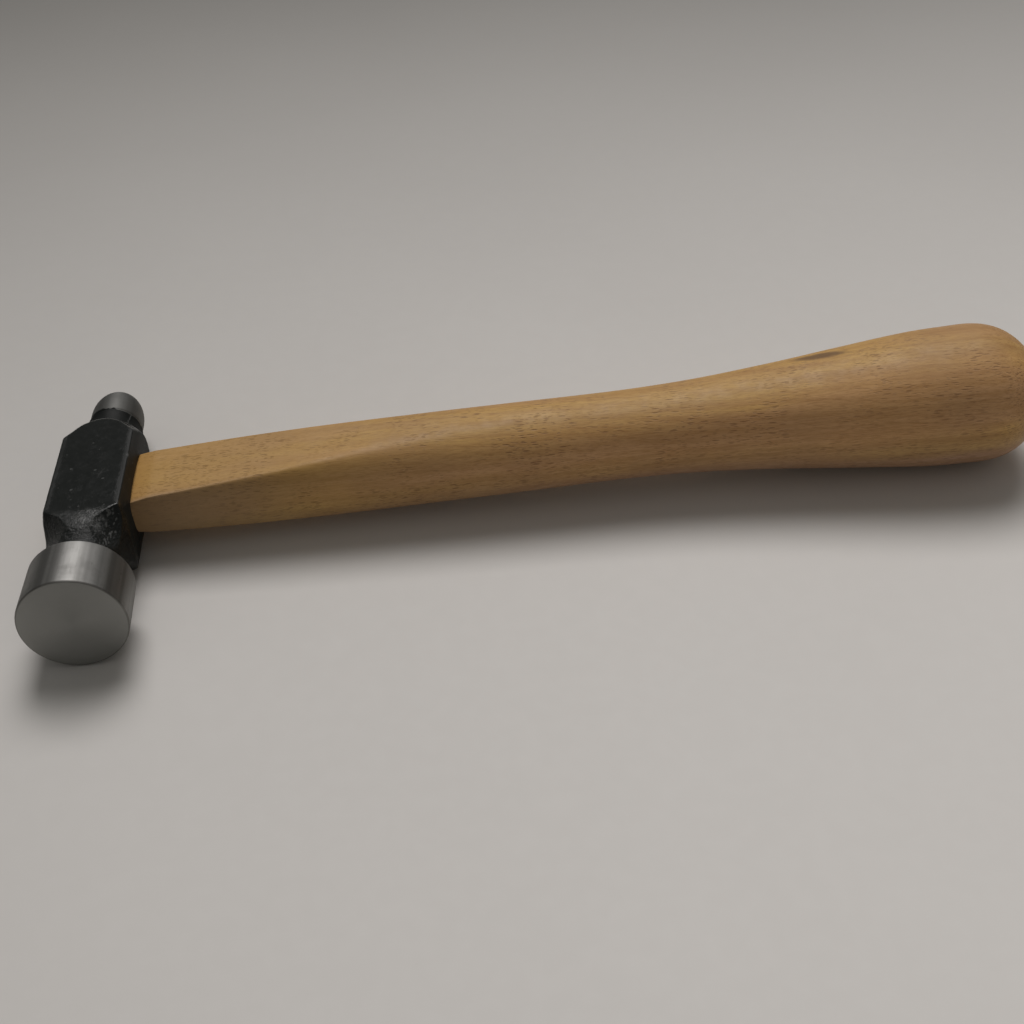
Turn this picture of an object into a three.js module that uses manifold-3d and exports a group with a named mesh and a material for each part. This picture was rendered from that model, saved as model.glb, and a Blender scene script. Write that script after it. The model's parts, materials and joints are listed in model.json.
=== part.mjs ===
// A small ball peen hammer lying on one cheek: a forged steel head on a short beech handle
// with a bulbous grip. Millimetres, +Z up.
//
// Every piece is built about the point where the head's turning axis crosses the handle's
// axis: the handle runs along +X, the striking face looks along -Y and the ball along +Y, so
// the two flat cheeks look up and down. The finished hammer is then leaned over by a few
// degrees into the pose in which it lies still on a table, on the poll's rear edge, the ball
// end of the lower cheek and the grip, with its origin at the middle of the bottom of its
// bounding box.
//
// Pieces: head, handle, wooden_wedge, steel_wedge.
import * as THREE from "three";
import { mergeVertices } from "three/addons/utils/BufferGeometryUtils.js";
import Module from "manifold-3d";

// ---- driving dimensions ----

const GAP = 0.3; // left between pieces that touch

// head, turned parts: places along the head's axis (Y) and radii about it
const FACE_Y = -38.4; // the striking face
const FACE_RADIUS = 9.85; // where the face meets its chamfer
const FACE_FLAT_RADIUS = 8; // the truly flat middle of the face
const FACE_CROWN = 0.12; // how far the face falls away between the two
const FACE_CHAMFER_LENGTH = 0.4;
const POLL_FRONT_RADIUS = 10; // the round part behind the face narrows a little to its rear
const POLL_REAR_RADIUS = 9.8;
const POLL_REAR_Y = -26.4;
const POLL_REAR_ROUND = 0.4;
const POLL_WALL_LEAN = 0.1; // the poll's rear wall leans back by this much
const POLL_FILLET = 0.8; // the wall's foot curves into the waist over this radius
const POLL_NECK_RADIUS = 7.1; // the waist between the poll and the cheeks
const POLL_NECK_START_Y = -24.6;
const POLL_NECK_END_Y = -22.6;
const POLL_NECK_BEND_Y = -18.8; // the waist widens towards the cheeks about here
const POLL_NECK_BEND_RADIUS = 7.7;
const CLEAR_RADIUS = 11.7; // outside every corner of the cheeks
const CLEAR_START_Y = -15.2;
const CONE_START_Y = 10.2; // the cone from the cheeks to the shoulder at the ball's neck
const SHOULDER_RADIUS = 6.7;
const SHOULDER_Y = 18.4;
const SHOULDER_ROUND = 0.4; // the shoulder's edge is rounded over this length
const NECK_RADIUS = 5.55;
const NECK_HOLLOW_Y = 19.4; // the hollow between the shoulder and the neck turns here
const NECK_Y = 21.4;
const BEAD_RADIUS = 5.8; // a low bead round the neck
const BEAD_Y = 23.2;
const GROOVE_RADIUS = 5.25; // the groove between the bead and the ball
const GROOVE_Y = 24.2;
const BALL_RADIUS = 5.5;
const BALL_SKIRT_Y = 24.8; // the ball's straight skirt begins here
const BALL_DOME_Y = 27.4; // and its long dome here
const BALL_END_Y = 35.6;

// head, forged middle: half-sizes across the axis
const CHEEK_HALF_X = 7.65; // half of the width along the handle
const CHEEK_HALF_Z = 8; // half of the thickness between the cheeks
const CORNER_CHAMFER_X = 0.55; // the sides lean in towards the cheeks
const CORNER_CHAMFER_Z = 2.8;
const CORNER_ROUND = 0.3;
const CHEEK_CUT_START_Y = -23.1; // the cheeks and the leaning sides are cut from here on
const SIDE_WAIST = 7.05; // the sides draw in to this behind the poll
const SIDE_WAIST_END_Y = -20.5;
const SIDE_FULL_Y = -14.5;

// head, the four slanting facets that cut the cheeks' corners at both ends: places along
// the axis and distances from it
const FACET_POLL_Y = -26.2; // just behind the poll
const FACET_POLL_DISTANCE = 7.85;
const FACET_NECK_DISTANCE = 6.95;
const FACET_NECK_START_Y = -24.6;
const FACET_NECK_END_Y = -20.5;
const FACET_BEND_Y = -16;
const FACET_BEND_DISTANCE = 7.2;
const FACET_CLEAR_DISTANCE = 12;
const FACET_CHEEK_START_Y = -13.3;
const FACET_CHEEK_END_Y = 8.3;
const FACET_CONE_DISTANCE = 7.4;
const FACET_CONE_Y = 17;
const FACET_SHOULDER_DISTANCE = 6.8;

// the eye through the head, along X: half-sizes at its three stations
const EYE_MOUTH_HALF_Y = 8.9; // on the handle's side
const EYE_MOUTH_HALF_Z = 3.9;
const EYE_WAIST_HALF_Y = 8.5;
const EYE_WAIST_HALF_Z = 3.6;
const EYE_TOP_HALF_Y = 8.8; // where the wedges spread the tenon
const EYE_TOP_HALF_Z = 4.3;
const EYE_WAIST_X = 1; // the waist reaches this far each way from the middle
const EYE_SQUARENESS = 4; // exponent of the superellipse that outlines it

// handle, along X
const TENON_END_X = -CHEEK_HALF_X;
const HANDLE_END_X = 189.5;
const FLAT_START_HALF_Z = 3.6; // the shaved flats at the head
const FLAT_SHOULDER_X = 11;
const FLAT_SHOULDER_HALF_Z = 4.25;
const FLAT_SLOPE = 0.0715; // how fast the flats run out along the shaft
const FLAT_EDGE_ROUND = 0.9;
const CAP_START_X = 175; // the rounded end of the grip begins here
const CAP_POWER = 2.5; // how square that end is: 2 would be an ellipse
const TIP_LENGTH = 0.05; // the tip is this much short of a point

// the saw kerf in the tenon and its wooden wedge
const KERF_END_X = 2;
const KERF_TOP_HALF_Z = 1.25;
const KERF_END_HALF_Z = 0.55;
const WOODEN_WEDGE_HALF_Y = 7.3;
const WOODEN_WEDGE_TOP_X = -8.35;
const WOODEN_WEDGE_TIP_X = 1.2;

// the steel wedge driven across the wooden one
const STEEL_WEDGE_Y = 0;
const STEEL_WEDGE_HALF_Z = 2.7;
const STEEL_WEDGE_TOP_X = -8.3;
const STEEL_WEDGE_TIP_X = -2.6;
const STEEL_WEDGE_TOP_HALF_Y = 0.8;
const STEEL_WEDGE_TIP_HALF_Y = 0.25;

// how the hammer leans when it lies on a table
const REST_RISE_DEG = 1.492; // the handle rises towards its thick grip
const REST_ROLL_DEG = 2.327; // the head leans from its thick poll towards the ball

// fineness of the surfaces
const HEAD_SIDES = 64;
const PROFILE_STEPS = 4; // points on each curve of the turned profile, twice that on the ball
const CORNER_STEPS = 3;
const FLANK_STEPS = 6;
const HANDLE_SIDES = 48;
const TENON_STEPS = 10;
const FLAT_START_STEPS = 3;
const SHAFT_STEPS = 42;
const CAP_STEPS = 12;
const EYE_SIDES = 40;
const EYE_STEPS = 12;
const CLEARANCE = 1; // how far a cutter reaches past what it cuts

// Half-sizes of the oval shaft at stations along the handle: x, half-width along Y,
// half-thickness along Z, and the exponent of the superellipse.
const SHAFT = [
  { x: 8, halfY: 8.65, halfZ: 8.4, power: 2.6 },
  { x: 20, halfY: 8.8, halfZ: 8.45, power: 2.55 },
  { x: 40, halfY: 9.05, halfZ: 8.5, power: 2.35 },
  { x: 60, halfY: 9.3, halfZ: 8.5, power: 2.2 },
  { x: 80, halfY: 9.4, halfZ: 8.5, power: 2.15 },
  { x: 105, halfY: 9.4, halfZ: 8.45, power: 2.1 },
  { x: 120, halfY: 9.95, halfZ: 8.9, power: 2.1 },
  { x: 135, halfY: 11.2, halfZ: 10.05, power: 2.1 },
  { x: 150, halfY: 12.9, halfZ: 11.55, power: 2.1 },
  { x: 165, halfY: 14.45, halfZ: 12.95, power: 2.1 },
  { x: 175, halfY: 14.8, halfZ: 13.25, power: 2.1 },
];

// ---- solids ----

const wasm = await Module();
wasm.setup();

/** A closed three.js geometry as a solid that can be joined and cut. */
function toSolid(geometry) {
  const plain = geometry.clone();
  plain.deleteAttribute("normal");
  plain.deleteAttribute("uv");
  const merged = mergeVertices(plain, 1e-4);
  return new wasm.Manifold(
    new wasm.Mesh({
      numProp: 3,
      vertProperties: new Float32Array(merged.attributes.position.array),
      triVerts: new Uint32Array(merged.index.array),
    }),
  );
}

/** A solid as a three.js geometry with flat-shaded normals. */
function toGeometry(solid) {
  const mesh = solid.getMesh();
  const indexed = new THREE.BufferGeometry();
  indexed.setAttribute("position", new THREE.BufferAttribute(mesh.vertProperties, 3));
  indexed.setIndex(new THREE.BufferAttribute(mesh.triVerts, 1));
  const geometry = indexed.toNonIndexed();
  geometry.computeVertexNormals();
  return geometry;
}

/** A smooth curve through named values at rising stations. */
function smoothTrack(stations, key) {
  const points = stations.map((s) => new THREE.Vector2(s.x, s[key]));
  return (x) => {
    if (x <= points[0].x) return points[0].y;
    const last = points.length - 1;
    if (x >= points[last].x) return points[last].y;
    const i = points.findIndex((p) => p.x > x) - 1;
    const slope = (k) => {
      const a = points[Math.max(k - 1, 0)];
      const b = points[Math.min(k + 1, last)];
      return (b.y - a.y) / (b.x - a.x);
    };
    const span = points[i + 1].x - points[i].x;
    const t = (x - points[i].x) / span;
    const rise = points[i + 1].y - points[i].y;
    const start = slope(i) * span;
    const end = slope(i + 1) * span;
    const bend = 3 * rise - 2 * start - end;
    const twist = start + end - 2 * rise;
    return points[i].y + t * start + t ** 2 * bend + t ** 3 * twist;
  };
}

/** The smaller of two lengths, with the corner between them rounded over a width. */
function roundedMinimum(a, b, width) {
  const share = THREE.MathUtils.clamp(0.5 + (0.5 * (b - a)) / width, 0, 1);
  return a * share + b * (1 - share) - width * share * (1 - share);
}

/** A point of a superellipse in the YZ plane, by its angle. */
function superellipse(angle, halfY, halfZ, power) {
  const bend = (value) => Math.sign(value) * Math.abs(value) ** (2 / power);
  return { y: halfY * bend(Math.cos(angle)), z: halfZ * bend(Math.sin(angle)) };
}

/**
 * A closed bar along X whose section changes from station to station: a unit lathe whose
 * rings are reshaped. section(x, angle) gives the outline's point, and the first and last
 * stations are closed by flat ends.
 */
function shapedBar(stations, sides, section) {
  const first = stations[0];
  const last = stations[stations.length - 1];
  const profile = [
    new THREE.Vector2(0, first),
    ...stations.map((x) => new THREE.Vector2(1, x)),
    new THREE.Vector2(0, last),
  ];
  const bar = new THREE.LatheGeometry(profile, sides);
  const position = bar.attributes.position;
  for (let i = 0; i < position.count; i += 1) {
    const onAxis = Math.hypot(position.getX(i), position.getZ(i)) < 0.5;
    const x = position.getY(i);
    const angle = Math.atan2(position.getZ(i), -position.getX(i));
    const point = onAxis ? { y: 0, z: 0 } : section(x, angle);
    position.setXYZ(i, x, point.y, point.z);
  }
  return bar;
}

/** A flat wedge or slot: a trapezoid from (x0, half0) to (x1, half1), extruded through its depth. */
function trapezoidPrism(x0, half0, x1, half1, depth) {
  const outline = new THREE.Shape();
  outline.moveTo(x0, -half0);
  outline.lineTo(x1, -half1);
  outline.lineTo(x1, half1);
  outline.lineTo(x0, half0);
  const prism = new THREE.ExtrudeGeometry(outline, { depth, bevelEnabled: false });
  prism.translate(0, 0, -depth / 2);
  return prism;
}

function steps(from, to, count) {
  return Array.from({ length: count + 1 }, (_, i) => from + ((to - from) * i) / count);
}

// ---- head ----

/** The turned blank's outline: radius against place along the axis. */
function turnedProfile() {
  const p = new THREE.Path();
  p.moveTo(0, FACE_Y);
  p.lineTo(FACE_FLAT_RADIUS, FACE_Y);
  p.quadraticCurveTo(
    (FACE_FLAT_RADIUS + FACE_RADIUS) / 2,
    FACE_Y,
    FACE_RADIUS,
    FACE_Y + FACE_CROWN,
  );
  p.lineTo(POLL_FRONT_RADIUS, FACE_Y + FACE_CHAMFER_LENGTH);
  p.lineTo(POLL_REAR_RADIUS, POLL_REAR_Y - POLL_REAR_ROUND);
  p.quadraticCurveTo(
    POLL_REAR_RADIUS,
    POLL_REAR_Y,
    POLL_REAR_RADIUS - POLL_REAR_ROUND,
    POLL_REAR_Y,
  );
  p.lineTo(POLL_NECK_RADIUS + POLL_FILLET, POLL_REAR_Y + POLL_WALL_LEAN);
  p.quadraticCurveTo(
    POLL_NECK_RADIUS,
    POLL_REAR_Y + POLL_REAR_ROUND,
    POLL_NECK_RADIUS,
    POLL_NECK_START_Y,
  );
  p.lineTo(POLL_NECK_RADIUS, POLL_NECK_END_Y);
  p.quadraticCurveTo(POLL_NECK_BEND_RADIUS, POLL_NECK_BEND_Y, CLEAR_RADIUS, CLEAR_START_Y);
  p.lineTo(CLEAR_RADIUS, CONE_START_Y);
  p.lineTo(SHOULDER_RADIUS + SHOULDER_ROUND, SHOULDER_Y - SHOULDER_ROUND);
  p.quadraticCurveTo(
    SHOULDER_RADIUS,
    SHOULDER_Y,
    SHOULDER_RADIUS - SHOULDER_ROUND,
    SHOULDER_Y + SHOULDER_ROUND / 2,
  );
  p.quadraticCurveTo(NECK_RADIUS, NECK_HOLLOW_Y, NECK_RADIUS, NECK_Y);
  p.lineTo(BEAD_RADIUS, BEAD_Y);
  p.lineTo(GROOVE_RADIUS, GROOVE_Y);
  p.lineTo(BALL_RADIUS, BALL_SKIRT_Y);
  p.lineTo(BALL_RADIUS, BALL_DOME_Y);
  p.absellipse(0, BALL_DOME_Y, BALL_RADIUS, BALL_END_Y - BALL_DOME_Y, 0, Math.PI / 2, false, 0);
  return p.getPoints(PROFILE_STEPS);
}

/** The section of the forged middle in the XZ plane: flat cheeks and sides that lean in to them. */
function cheekSection() {
  const flatX = CHEEK_HALF_X - CORNER_CHAMFER_X;
  const flatZ = CHEEK_HALF_Z - CORNER_CHAMFER_Z;
  const corners = [
    [flatX, -CHEEK_HALF_Z],
    [CHEEK_HALF_X, -flatZ],
    [CHEEK_HALF_X, flatZ],
    [flatX, CHEEK_HALF_Z],
    [-flatX, CHEEK_HALF_Z],
    [-CHEEK_HALF_X, flatZ],
    [-CHEEK_HALF_X, -flatZ],
    [-flatX, -CHEEK_HALF_Z],
  ].map(([x, z]) => new THREE.Vector2(x, z));
  const outline = new THREE.Shape();
  corners.forEach((corner, i) => {
    const before = corners[(i + corners.length - 1) % corners.length];
    const after = corners[(i + 1) % corners.length];
    const start = corner.clone().add(before.clone().sub(corner).setLength(CORNER_ROUND));
    const end = corner.clone().add(after.clone().sub(corner).setLength(CORNER_ROUND));
    if (i === 0) outline.moveTo(start.x, start.y);
    else outline.lineTo(start.x, start.y);
    outline.quadraticCurveTo(corner.x, corner.y, end.x, end.y);
  });
  outline.closePath();
  return outline;
}

/** What is milled off the turned blank to leave the flat cheeks. */
function cheekCutter() {
  const reach = 2 * (CLEAR_RADIUS + CLEARANCE);
  const from = CHEEK_CUT_START_Y;
  const to = SHOULDER_Y + SHOULDER_ROUND;
  const block = new THREE.BoxGeometry(reach, to - from, reach);
  block.translate(0, (from + to) / 2, 0);
  const prism = new THREE.ExtrudeGeometry(cheekSection(), {
    depth: to - from + 2 * CLEARANCE,
    bevelEnabled: false,
    curveSegments: CORNER_STEPS,
  });
  prism.rotateX(Math.PI / 2);
  prism.translate(0, to + CLEARANCE, 0);
  return toSolid(block).subtract(toSolid(prism));
}

/**
 * What is cut off one flank of the head. The outline holds places along the head's axis and
 * distances from it, and the cut faces the direction that is turned from +Z about the axis.
 */
function flankCutter(outline, turn) {
  const width = 4 * FACET_CLEAR_DISTANCE;
  const cutter = new THREE.ExtrudeGeometry(outline, {
    depth: width,
    bevelEnabled: false,
    curveSegments: FLANK_STEPS,
  });
  cutter.translate(0, 0, -width / 2);
  const alongAxis = new THREE.Vector3(0, 1, 0);
  const awayFromAxis = new THREE.Vector3(0, 0, 1);
  const across = new THREE.Vector3(1, 0, 0);
  cutter.applyMatrix4(new THREE.Matrix4().makeBasis(alongAxis, awayFromAxis, across));
  cutter.rotateY(turn);
  return toSolid(cutter);
}

/** The slanting facet that runs along each corner of the forged middle. */
function facetOutline() {
  const outside = 2 * FACET_CLEAR_DISTANCE;
  const outline = new THREE.Shape();
  outline.moveTo(FACET_POLL_Y, outside);
  outline.lineTo(FACET_POLL_Y, FACET_POLL_DISTANCE);
  outline.quadraticCurveTo(
    FACET_POLL_Y,
    FACET_NECK_DISTANCE,
    FACET_NECK_START_Y,
    FACET_NECK_DISTANCE,
  );
  outline.lineTo(FACET_NECK_END_Y, FACET_NECK_DISTANCE);
  outline.quadraticCurveTo(
    FACET_BEND_Y,
    FACET_BEND_DISTANCE,
    FACET_CHEEK_START_Y,
    FACET_CLEAR_DISTANCE,
  );
  outline.lineTo(FACET_CHEEK_END_Y, FACET_CLEAR_DISTANCE);
  outline.lineTo(FACET_CONE_Y, FACET_CONE_DISTANCE);
  outline.lineTo(SHOULDER_Y, FACET_SHOULDER_DISTANCE);
  outline.lineTo(SHOULDER_Y, outside);
  return outline;
}

/** The hollow by which each side draws in behind the poll. */
function waistOutline() {
  const outside = 2 * FACET_CLEAR_DISTANCE;
  const outline = new THREE.Shape();
  outline.moveTo(POLL_NECK_START_Y, outside);
  outline.lineTo(POLL_NECK_START_Y, SIDE_WAIST);
  outline.lineTo(SIDE_WAIST_END_Y, SIDE_WAIST);
  outline.quadraticCurveTo(
    (SIDE_WAIST_END_Y + SIDE_FULL_Y) / 2,
    SIDE_WAIST,
    SIDE_FULL_Y,
    CHEEK_HALF_X,
  );
  outline.lineTo(SIDE_FULL_Y, outside);
  return outline;
}

const EYE = [
  { x: -CHEEK_HALF_X, halfY: EYE_TOP_HALF_Y, halfZ: EYE_TOP_HALF_Z },
  { x: -EYE_WAIST_X, halfY: EYE_WAIST_HALF_Y, halfZ: EYE_WAIST_HALF_Z },
  { x: EYE_WAIST_X, halfY: EYE_WAIST_HALF_Y, halfZ: EYE_WAIST_HALF_Z },
  { x: CHEEK_HALF_X, halfY: EYE_MOUTH_HALF_Y, halfZ: EYE_MOUTH_HALF_Z },
];
const eyeHalfY = smoothTrack(EYE, "halfY");
const eyeHalfZ = smoothTrack(EYE, "halfZ");

function eyeCutter() {
  const beyond = CHEEK_HALF_X + CLEARANCE;
  const stations = [-beyond, ...steps(-CHEEK_HALF_X, CHEEK_HALF_X, EYE_STEPS), beyond];
  return shapedBar(stations, EYE_SIDES, (x, angle) =>
    superellipse(angle, eyeHalfY(x), eyeHalfZ(x), EYE_SQUARENESS),
  );
}

function headSolid() {
  const blank = toSolid(new THREE.LatheGeometry(turnedProfile(), HEAD_SIDES));
  const quarter = Math.PI / 2;
  const cutters = [
    cheekCutter(),
    ...[0, 1, 2, 3].map((i) => flankCutter(facetOutline(), (i + 0.5) * quarter)),
    ...[1, 3].map((i) => flankCutter(waistOutline(), i * quarter)),
    toSolid(eyeCutter()),
  ];
  return cutters.reduce((head, cutter) => head.subtract(cutter), blank);
}

// ---- handle ----

const shaftHalfY = smoothTrack(SHAFT, "halfY");
const shaftHalfZ = smoothTrack(SHAFT, "halfZ");
const shaftPower = smoothTrack(SHAFT, "power");

/** Half of the thickness between the two flats that are shaved on the shaft near the head. */
function flatHalfZ(x) {
  if (x < FLAT_SHOULDER_X) {
    const share = (x - CHEEK_HALF_X) / (FLAT_SHOULDER_X - CHEEK_HALF_X);
    return THREE.MathUtils.lerp(FLAT_START_HALF_Z, FLAT_SHOULDER_HALF_Z, share);
  }
  return FLAT_SHOULDER_HALF_Z + (x - FLAT_SHOULDER_X) * FLAT_SLOPE;
}

/** How much of the full section is left where the grip's end is rounded off. */
function capShare(x) {
  if (x <= CAP_START_X) return 1;
  const along = (x - CAP_START_X) / (HANDLE_END_X - CAP_START_X);
  return Math.sqrt(Math.max(1 - along ** CAP_POWER, 0));
}

function handleSection(x, angle) {
  if (x < CHEEK_HALF_X + GAP / 2) {
    return superellipse(angle, eyeHalfY(x) - GAP, eyeHalfZ(x) - GAP, EYE_SQUARENESS);
  }
  const share = capShare(x);
  const oval = superellipse(angle, shaftHalfY(x) * share, shaftHalfZ(x) * share, shaftPower(x));
  const height = roundedMinimum(Math.abs(oval.z), flatHalfZ(x), FLAT_EDGE_ROUND);
  return { y: oval.y, z: Math.sign(oval.z) * Math.max(height, 0) };
}

function handleStations() {
  const cap = steps(0, Math.PI / 2, CAP_STEPS)
    .slice(1, -1)
    .map((turn) => CAP_START_X + (HANDLE_END_X - CAP_START_X) * Math.sin(turn));
  return [
    ...steps(TENON_END_X, CHEEK_HALF_X, TENON_STEPS),
    ...steps(CHEEK_HALF_X + GAP, FLAT_SHOULDER_X, FLAT_START_STEPS),
    ...steps(FLAT_SHOULDER_X, CAP_START_X, SHAFT_STEPS).slice(1),
    ...cap,
    HANDLE_END_X - TIP_LENGTH,
  ];
}

/** Half of the width that the wooden wedge holds the kerf open to. */
function kerfHalfZ(x) {
  const share = (x - TENON_END_X) / (KERF_END_X - TENON_END_X);
  return THREE.MathUtils.lerp(KERF_TOP_HALF_Z, KERF_END_HALF_Z, share);
}

function kerfCutter() {
  const beyond = TENON_END_X - CLEARANCE;
  const depth = 2 * (EYE_MOUTH_HALF_Y + CLEARANCE);
  const prism = trapezoidPrism(beyond, kerfHalfZ(beyond), KERF_END_X, KERF_END_HALF_Z, depth);
  prism.rotateX(Math.PI / 2);
  return toSolid(prism);
}

// ---- wedges ----

function woodenWedge() {
  const prism = trapezoidPrism(
    WOODEN_WEDGE_TOP_X,
    kerfHalfZ(WOODEN_WEDGE_TOP_X) - GAP,
    WOODEN_WEDGE_TIP_X,
    kerfHalfZ(WOODEN_WEDGE_TIP_X) - GAP,
    2 * WOODEN_WEDGE_HALF_Y,
  );
  prism.rotateX(Math.PI / 2);
  return toSolid(prism);
}

/** The steel wedge's solid; grown all round, and through the tenon's end, it is its slot. */
function steelWedge(extra) {
  const prism = trapezoidPrism(
    STEEL_WEDGE_TOP_X - (extra > 0 ? CLEARANCE : 0),
    STEEL_WEDGE_TOP_HALF_Y + extra,
    STEEL_WEDGE_TIP_X + extra,
    STEEL_WEDGE_TIP_HALF_Y + extra,
    2 * (STEEL_WEDGE_HALF_Z + extra),
  );
  prism.translate(0, STEEL_WEDGE_Y, 0);
  return toSolid(prism);
}

const steelWedgeSlot = steelWedge(GAP);

function handleSolid() {
  const bar = toSolid(shapedBar(handleStations(), HANDLE_SIDES, handleSection));
  return bar.subtract(kerfCutter()).subtract(steelWedgeSlot);
}

// ---- the scene graph ----

const materials = {
  forgedSteel: new THREE.MeshStandardMaterial({ color: 0x1b1d1c, roughness: 0.45, metalness: 0.5 }),
  beech: new THREE.MeshStandardMaterial({ color: 0xc9965c, roughness: 0.5, metalness: 0 }),
  wedgeWood: new THREE.MeshStandardMaterial({ color: 0xb98a55, roughness: 0.7, metalness: 0 }),
  brightSteel: new THREE.MeshStandardMaterial({ color: 0x9a9a96, roughness: 0.35, metalness: 1 }),
};

const hammer = new THREE.Group();

function addPiece(name, solid, material) {
  const mesh = new THREE.Mesh(toGeometry(solid), material);
  mesh.name = name;
  hammer.add(mesh);
}

addPiece("head", headSolid(), materials.forgedSteel);
addPiece("handle", handleSolid(), materials.beech);
addPiece("wooden_wedge", woodenWedge().subtract(steelWedgeSlot), materials.wedgeWood);
addPiece("steel_wedge", steelWedge(0), materials.brightSteel);

// Lay the hammer on its three lowest points, with the origin at the middle of the bottom.
hammer.rotation.set(
  -THREE.MathUtils.degToRad(REST_ROLL_DEG),
  -THREE.MathUtils.degToRad(REST_RISE_DEG),
  0,
);
const bounds = new THREE.Box3().setFromObject(hammer, true);
const middle = bounds.getCenter(new THREE.Vector3());
hammer.position.set(-middle.x, -middle.y, -bounds.min.z);

const part = new THREE.Group();
part.add(hammer);

export default part;
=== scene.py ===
# A small ball peen hammer lying on a table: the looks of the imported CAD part.
#
# Every piece is made in the hammer's own frame, in metres: the origin is where the head's
# turning axis crosses the handle's axis, the handle runs along +X, the striking face looks
# along -Y, the ball along +Y, and the flat cheeks look along +Z and -Z. Each finished mesh is
# then laid on the table as the CAD part lies. Lengths in the tables below are millimetres.
import json
import math

import bmesh
import bpy
import numpy as np
from mathutils import Matrix, Vector, noise


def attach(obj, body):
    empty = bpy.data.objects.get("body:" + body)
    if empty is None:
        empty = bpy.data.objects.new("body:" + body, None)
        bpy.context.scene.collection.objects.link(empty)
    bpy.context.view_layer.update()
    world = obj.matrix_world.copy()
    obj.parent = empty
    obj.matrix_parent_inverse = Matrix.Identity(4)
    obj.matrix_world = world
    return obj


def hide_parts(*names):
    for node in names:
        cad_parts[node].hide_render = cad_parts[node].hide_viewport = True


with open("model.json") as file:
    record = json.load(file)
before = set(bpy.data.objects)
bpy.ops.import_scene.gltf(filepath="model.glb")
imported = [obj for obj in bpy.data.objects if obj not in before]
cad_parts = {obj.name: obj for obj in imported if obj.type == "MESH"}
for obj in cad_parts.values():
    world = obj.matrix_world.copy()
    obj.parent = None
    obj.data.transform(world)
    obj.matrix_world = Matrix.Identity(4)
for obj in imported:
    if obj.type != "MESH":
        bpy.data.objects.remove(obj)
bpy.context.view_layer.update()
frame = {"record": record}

MM = 0.001

# ---- the hammer's frame, from the CAD part's mounts ----

FACE_Y = -38.4  # the striking face
mounts = {m["name"]: m for m in frame["record"]["mounts"]}
face_mount = mounts["striking_face"]
axis_y = -Vector(face_mount["axis"]).normalized()
axis_z = Vector(mounts["cheek_up"]["axis"]).normalized()
axis_x = axis_y.cross(axis_z).normalized()
origin = Vector(face_mount["pos_m"]) - FACE_Y * MM * axis_y
HAMMER = Matrix((axis_x, axis_y, axis_z)).transposed().to_4x4()
HAMMER.translation = origin

# ---- sizes of the head, as in the CAD part ----

CHEEK_HALF_X = 7.65
CHEEK_HALF_Z = 8.0
LEAN_X, LEAN_Z = 7.1, 5.2  # the sides lean in from (CHEEK_HALF_X, LEAN_Z) to (LEAN_X, CHEEK_HALF_Z)
CHEEK_CUT_START_Y = -23.1  # nearer the face the poll is left round

# the face is flat in the middle and falls back a little towards its rounded rim
FACE_FLAT_RADIUS = 8
FACE_RIM_RADIUS = 9.85
FACE_RIM_DROP = 0.12
POLL_ROUND = 0.4
POLL_RADIUS = 10
POLL_REAR_RADIUS = 9.8
POLL_REAR_Y = -26.4
POLL_WALL_LEAN = 0.1
POLL_FILLET = 0.8

# behind the poll the blank is slim, and then flares to the body that the planes cut
POLL_NECK_RADIUS = 7.1
POLL_NECK_Y = (-24.6, -22.6)
POLL_NECK_BEND = (-18.8, 7.7)
BODY_RADIUS = 11.7
BODY_Y = (-15.2, 10.2)

# beyond the body: shoulder, hollow neck, bead, groove and ball
SHOULDER_RADIUS = 6.7
SHOULDER_Y = 18.4
SHOULDER_ROUND = 0.4
NECK_RADIUS = 5.55
NECK_HOLLOW_Y = 19.4
NECK_Y = 21.4
BEAD_START = (22.6, 5.57)
BEAD_RADIUS = 5.8
BEAD_Y = 23.2
GROOVE_RADIUS = 5.25
GROOVE_Y = 24.2
BALL_RADIUS = 5.5
BALL_SKIRT_Y = 24.8
BALL_DOME_Y = 27.4
BALL_END_Y = 35.6

# the four slanting facets' and the two sides' distances from the axis
FACET_POLL_Y = -26.2
FACET_POLL_DISTANCE = 7.85
FACET_NECK_DISTANCE = 6.95
SIDE_NECK_DISTANCE = 7.05
NECK_FLATS_Y = (-24.6, -20.5)
FACET_BEND = (-16, 7.2)
SIDE_BEND_Y = -17.5
SIDE_Y = -14.5
OUTSIDE_BODY = 12  # a distance at which a facet no longer cuts
FACET_CLEAR_Y = (-13.3, 8.3)
FACET_CONE = (17, 7.4)
FACET_SHOULDER_DISTANCE = 6.8
FAR = 99

PAINT_FRONT_Y = -26.2
PAINT_BALL_Y = 24.5


def outline(start, *legs, step=0.02):
    """Points along straight and curved legs: a leg is its end, or its control point and end."""
    points = [np.array([start], float)]
    for leg in legs:
        a, b = points[-1][-1], np.array(leg[-1], float)
        c = np.array(leg[0], float) if len(leg) == 2 else (a + b) / 2
        count = max(2, int(np.linalg.norm(b - a) / step))
        t = np.linspace(0, 1, count + 1)[1:, None]
        points.append((1 - t) ** 2 * a + 2 * t * (1 - t) * c + t * t * b)
    return np.concatenate(points)


def evenly(points, step):
    """The same line with points a step apart."""
    s = np.concatenate([[0], np.cumsum(np.linalg.norm(np.diff(points, axis=0), axis=1))])
    at = np.linspace(0, s[-1], int(s[-1] / step) + 1)
    return np.stack([np.interp(at, s, points[:, k]) for k in range(points.shape[1])], 1)


def eased(points, radius, step=0.02):
    """The line with every corner rounded to about a radius, its ends kept."""
    half = int(3 * radius / step)
    kernel = np.exp(-0.5 * (np.arange(-half, half + 1) * step / radius) ** 2)
    kernel /= kernel.sum()
    wide = np.pad(points, ((half, half), (0, 0)), mode="reflect", reflect_type="odd")
    return np.stack([np.convolve(wide[:, k], kernel, "valid") for k in (0, 1)], 1)


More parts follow.
